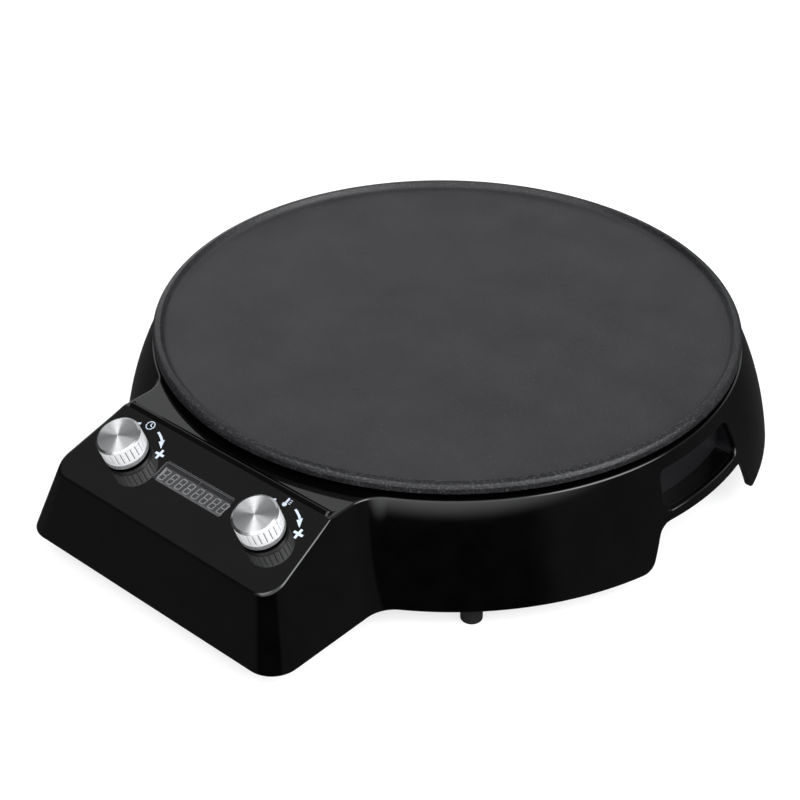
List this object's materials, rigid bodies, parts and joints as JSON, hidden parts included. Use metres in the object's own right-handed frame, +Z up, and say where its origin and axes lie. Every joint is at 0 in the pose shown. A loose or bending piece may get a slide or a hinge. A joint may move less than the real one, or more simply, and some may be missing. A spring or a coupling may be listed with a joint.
{
  "type": "electric crepe maker",
  "caption": "Round electric crepe griddle with a raised rim on a skirted gloss base, with a sloped control box, a display and knobs in front, and hand windows at the sides.",
  "frame": {"origin": "on the countertop under the middle of the footprint", "axes": "+X is to the right as seen by the cook, -Y is the front with the control box, +Z is up"},
  "size_m": [0.3582, 0.4193, 0.0777],
  "materials": {
    "griddle_coating": "cast aluminium under a fine-grained dark non-stick coating",
    "gloss_black": "high-gloss black moulding",
    "spun_aluminium": "spun face with a bright chamfer and a grooved grip",
    "knob_plastic": "moulded black",
    "clear_window": "clear tinted window",
    "lcd": "grey display glass",
    "foot_rubber": "black rubber",
    "cover_black": "fine-textured black moulding",
    "element_sheath": "dull steel sheath",
    "ceramic": "unglazed white ceramic",
    "brass_terminal": "tinned brass",
    "plated_steel": "zinc-plated steel",
    "sensor_body": "sensor and fuse bodies",
    "circuit_board": "green solder mask",
    "black_part": "moulded black",
    "relay_blue": "blue relay case",
    "winding": "yellow winding tape",
    "terminal_green": "green terminal block",
    "fuse_glass": "glass tube between clips",
    "heatsink": "extruded fins",
    "wire_insulation": "soft insulation in several colours"
  },
  "bodies": {
    "base": {"griddle_plate": "griddle_coating", "heating_element": "element_sheath", "element_insulators": "ceramic", "element_terminals": "brass_terminal", "element_straps": "plated_steel", "strap_screws": "plated_steel", "temperature_sensor": "sensor_body", "sensor_bracket": "plated_steel", "thermal_fuse": "sensor_body", "fuse_clip": "plated_steel", "heat_shield": "plated_steel", "plate_bolts": "plated_steel", "plate_washers": "plated_steel", "shield_screws": "plated_steel", "housing": "gloss_black", "left_handle_cup": "gloss_black", "right_handle_cup": "gloss_black", "base_cover": "cover_black", "base_screws": "plated_steel", "front_left_foot": "foot_rubber", "front_right_foot": "foot_rubber", "rear_left_foot": "foot_rubber", "rear_right_foot": "foot_rubber", "foot_screws": "plated_steel", "display_lens": "clear_window", "display_module": "lcd", "control_board": "circuit_board", "control_board_screws": "plated_steel", "buzzer": "black_part", "time_encoder": "plated_steel", "temp_encoder": "plated_steel", "time_encoder_nut": "plated_steel", "temp_encoder_nut": "plated_steel", "power_board": "circuit_board", "power_board_screws": "plated_steel", "relay": "relay_blue", "transformer": "winding", "terminal_block": "terminal_green", "mains_fuse": "fuse_glass", "triac_heatsink": "heatsink", "capacitors": "black_part", "power_inlet": "black_part", "inlet_pins": "brass_terminal", "inlet_screws": "plated_steel", "inlet_nuts": "plated_steel", "mains_wires": "wire_insulation", "earth_wire": "wire_insulation", "element_wires": "wire_insulation", "sensor_wires": "wire_insulation", "ribbon_cable": "wire_insulation"},
    "time_control": {"time_knob": "spun_aluminium", "time_knob_core": "knob_plastic", "time_shaft": "plated_steel"},
    "temp_control": {"temp_knob": "spun_aluminium", "temp_knob_core": "knob_plastic", "temp_shaft": "plated_steel"}
  },
  "joints": [
    {"name": "time_turn", "type": "hinge", "parent": "base", "child": "time_control", "pos_m": [-0.0498, -0.17034, 0.06039], "axis": [0, -0.3584, 0.9336], "continuous": true},
    {"name": "temp_turn", "type": "hinge", "parent": "base", "child": "temp_control", "pos_m": [0.0498, -0.17034, 0.06039], "axis": [0, -0.3584, 0.9336], "continuous": true}
  ]
}
